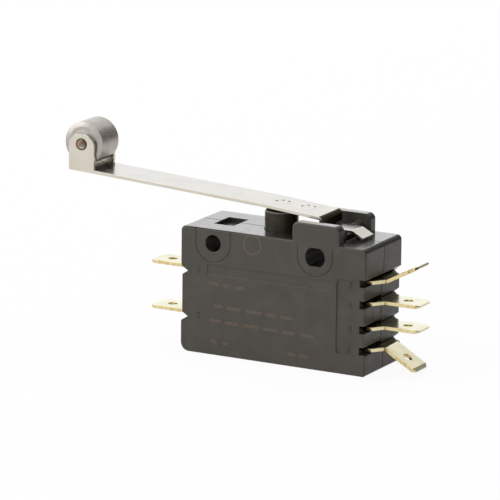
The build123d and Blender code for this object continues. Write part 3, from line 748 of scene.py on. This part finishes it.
def make_print():
    """Faint bars and ring in partly rubbed-off ink on the front face."""
    shape = bmesh.new()
    front = FRONT_FACE_Y - PRINT_THICKNESS
    for x, z, length in PRINT_BARS:
        outline = rounded_bar(x * MM, z * MM, length * MM, PRINT_BAR_HEIGHT)
        plate(shape, outline, FRONT_FACE_Y, front, PRINT_EDGE, PRINT_EDGE_DEPTH)
    x, z, radius, width = (value * MM for value in PRINT_RING)
    ring_band(shape, x, z, radius, width, FRONT_FACE_Y, front)
    bmesh.ops.recalc_face_normals(shape, faces=shape.faces)
    link_piece("front_print", shape, brown_ink, "case")


def make_digits():
    """Raised plain numbers beside the tabs."""
    upright = Matrix.Rotation(math.radians(90.0), 4, "X")
    for digit, x, z, face_y in DIGIT_PLACES:
        curve = bpy.data.curves.new("digit_shape", "FONT")
        curve.body = digit
        curve.align_x = "CENTER"
        curve.align_y = "CENTER"
        curve.size = DIGIT_SIZE
        curve.extrude = DIGIT_RISE / 2
        curve.bevel_depth = DIGIT_RISE / 3
        curve.bevel_resolution = 1
        source = bpy.data.objects.new("digit_source", curve)
        bpy.context.scene.collection.objects.link(source)
        shape = bmesh.new()
        shape.from_mesh(bpy.data.meshes.new_from_object(source))
        bpy.data.objects.remove(source)
        place = Matrix.Translation((x * MM, face_y, z * MM))
        bmesh.ops.transform(shape, matrix=place @ upright, verts=shape.verts)
        link_piece(f"digit_{digit}", shape, digit_plastic, "case")


def make_stake_marks():
    """Small dents with a raised burr that the staking tool left round the rivets."""
    shape = bmesh.new()
    for x, y in STAKE_PLACES:
        level = STRIP_END[1] + (STRIP_END[0] - x * MM) * STRIP_FALL
        loops = []
        for scale, rise in STAKE_PROFILE:
            radius = STAKE_RADIUS * scale
            loops.append([
                shape.verts.new((
                    x * MM + radius * along,
                    y * MM + radius * across,
                    level - radius * along * STRIP_FALL + rise * MM,
                ))
                for along, across in circle_points(STAKE_STEPS)
            ])
        bridge(shape, loops)
        shape.faces.new(loops[-1])
    smooth_faces(shape)
    link_piece("stake_marks", shape, shaded_dent_steel, "lever")


def make_flash_line():
    """Low moulding line down the end face, between the rows of tabs."""
    shape = bmesh.new()
    section = half_circle_points(-90.0)
    for low, high in FLASH_LANDS:
        stations = (
            (low * MM, FLASH_TIP_SHARE),
            (low * MM + FLASH_TAPER, 1.0),
            (high * MM - FLASH_TAPER, 1.0),
            (high * MM, FLASH_TIP_SHARE),
        )
        loops = []
        for z, scale in stations:
            loops.append([
                shape.verts.new((
                    END_LAND_X + FLASH_RISE * rise * scale,
                    FLASH_Y + FLASH_WIDTH / 2 * across * scale,
                    z,
                ))
                for rise, across in section
            ])
        for first, second in zip(loops, loops[1:]):
            for i in range(len(section) - 1):
                shape.faces.new((first[i], first[i + 1], second[i + 1], second[i]))
    smooth_faces(shape)
    link_piece("flash_line", shape, case_plastic, "case")


def make_eyelet():
    """Tubular pin with a funnel-shaped, rolled rim at each end, in the place of the CAD pin."""
    shape = bmesh.new()
    for side in (-1, 1):
        loops = []
        for radius, y in EYELET_PROFILE:
            loops.append([
                shape.verts.new((
                    roller_centre.x + radius * MM * across,
                    roller_centre.y + side * y * MM,
                    roller_centre.z + radius * MM * up,
                ))
                for across, up in circle_points(EYELET_STEPS)
            ])
        bridge(shape, loops)
    bmesh.ops.remove_doubles(shape, verts=shape.verts, dist=WELD_DISTANCE)
    bmesh.ops.recalc_face_normals(shape, faces=shape.faces)
    smooth_faces(shape)
    eyelet = link_piece("roller_eyelet", shape, pin_brass, "lever")
    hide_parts("roller_pin")


make_eyelet()
make_print()
make_digits()
make_stake_marks()
make_flash_line()


def make_camera():
    """Camera at the photograph's place and angle."""
    yaw, pitch, roll = (math.radians(a) for a in (CAMERA_YAW, CAMERA_PITCH, CAMERA_ROLL))
    ahead = Vector((
        -math.sin(yaw) * math.cos(pitch),
        math.cos(yaw) * math.cos(pitch),
        -math.sin(pitch),
    ))
    level_right = Vector((math.cos(yaw), math.sin(yaw), 0.0))
    level_up = level_right.cross(ahead)
    right = math.cos(roll) * level_right + math.sin(roll) * level_up
    up = math.cos(roll) * level_up - math.sin(roll) * level_right
    turn = Matrix((right, up, -ahead)).transposed().to_4x4()
    data = bpy.data.cameras.new("camera")
    data.lens = CAMERA_LENS
    data.sensor_width = SENSOR_WIDTH
    data.clip_start, data.clip_end = CAMERA_CLIP
    camera = bpy.data.objects.new("camera", data)
    camera.matrix_world = Matrix.Translation(CAMERA_PLACE) @ turn
    bpy.context.scene.collection.objects.link(camera)
    bpy.context.scene.camera = camera


def seen_rays(tree, camera_share, mirror_share):
    """Share of plain white for camera rays and for glossy and transmission rays, and 0 for others."""
    path = tree.nodes.new("ShaderNodeLightPath")
    seen = calculate(tree, "MULTIPLY", path.outputs["Is Camera Ray"], camera_share)
    for name in ("Is Glossy Ray", "Is Transmission Ray"):
        mirrored = calculate(tree, "MULTIPLY", path.outputs[name], mirror_share)
        seen = calculate(tree, "MAXIMUM", seen, mirrored)
    return seen


def mix_white(tree, white_shares, plain, white, surface):
    """Show plain white by the shares for seen rays, and the plain shader to all others."""
    mix = tree.nodes.new("ShaderNodeMixShader")
    tree.links.new(seen_rays(tree, *white_shares), mix.inputs["Fac"])
    tree.links.new(plain, mix.inputs[1])
    tree.links.new(white, mix.inputs[2])
    tree.links.new(mix.outputs["Shader"], surface)


def studio_material(name, colour):
    """Plain matte material."""
    material = bpy.data.materials.new(name)
    material.use_nodes = True
    shader = material.node_tree.nodes["Principled BSDF"]
    shader.inputs["Base Color"].default_value = (*colour, 1.0)
    shader.inputs["Roughness"].default_value = STUDIO_ROUGHNESS
    return material


def make_floor():
    """Wide pale floor that is nearly white to the camera and keeps a faint shadow."""
    mesh = bpy.data.meshes.new("floor")
    shape = bmesh.new()
    bmesh.ops.create_grid(shape, x_segments=1, y_segments=1, size=FLOOR_SIZE)
    shape.to_mesh(mesh)
    shape.free()
    floor = bpy.data.objects.new("floor", mesh)
    floor.location = (0.0, 0.0, cad_low.z - FLOOR_DROP)
    bpy.context.scene.collection.objects.link(floor)
    material = studio_material("floor_white", FLOOR_COLOUR)
    tree = material.node_tree
    plain = tree.nodes["Principled BSDF"].outputs["BSDF"]
    white = tree.nodes.new("ShaderNodeEmission").outputs["Emission"]
    mix_white(tree, FLOOR_WHITE_SHARES, plain, white, tree.nodes["Material Output"].inputs["Surface"])
    mesh.materials.append(material)


def make_world():
    """Even pale surroundings, white to the camera and in reflections."""
    world = bpy.data.worlds.new("studio")
    bpy.context.scene.world = world
    world.use_nodes = True
    tree = world.node_tree
    plain = tree.nodes["Background"]
    white = tree.nodes.new("ShaderNodeBackground")
    for background, strength in ((plain, WORLD_STRENGTH), (white, 1.0)):
        background.inputs["Color"].default_value = (1.0, 1.0, 1.0, 1.0)
        background.inputs["Strength"].default_value = strength
    mix_white(
        tree,
        WORLD_WHITE_SHARES,
        plain.outputs["Background"],
        white.outputs["Background"],
        tree.nodes["World Output"].inputs["Surface"],
    )


def make_card(name, corners, height, colour):
    """Upright card beside the object, which the camera doesn't see."""
    mesh = bpy.data.meshes.new(name)
    shape = bmesh.new()
    low = [shape.verts.new((x, y, cad_low.z)) for x, y in corners]
    high = [shape.verts.new((x, y, cad_low.z + height)) for x, y in corners]
    shape.faces.new((low[0], low[1], high[1], high[0]))
    shape.to_mesh(mesh)
    shape.free()
    mesh.materials.append(studio_material(f"{name}_grey", colour))
    card = bpy.data.objects.new(name, mesh)
    card.visible_camera = False
    bpy.context.scene.collection.objects.link(card)


def make_lamp(name, place, width, height, brightness):
    """Soft rectangular lamp that faces the object, which the camera doesn't see."""
    data = bpy.data.lights.new(name, "AREA")
    data.shape = "RECTANGLE"
    data.size = width
    data.size_y = height
    data.energy = brightness * math.pi * width * height
    lamp = bpy.data.objects.new(name, data)
    lamp.location = place
    lamp.rotation_mode = "QUATERNION"
    lamp.rotation_quaternion = (-Vector(place)).to_track_quat("-Z", "Y")
    lamp.visible_camera = False
    bpy.context.scene.collection.objects.link(lamp)


make_camera()
make_floor()
make_world()
for lamp_values in LAMPS:
    make_lamp(*lamp_values)
for card_values in CARDS:
    make_card(*card_values)

scene = bpy.context.scene
scene.view_settings.view_transform = "Standard"
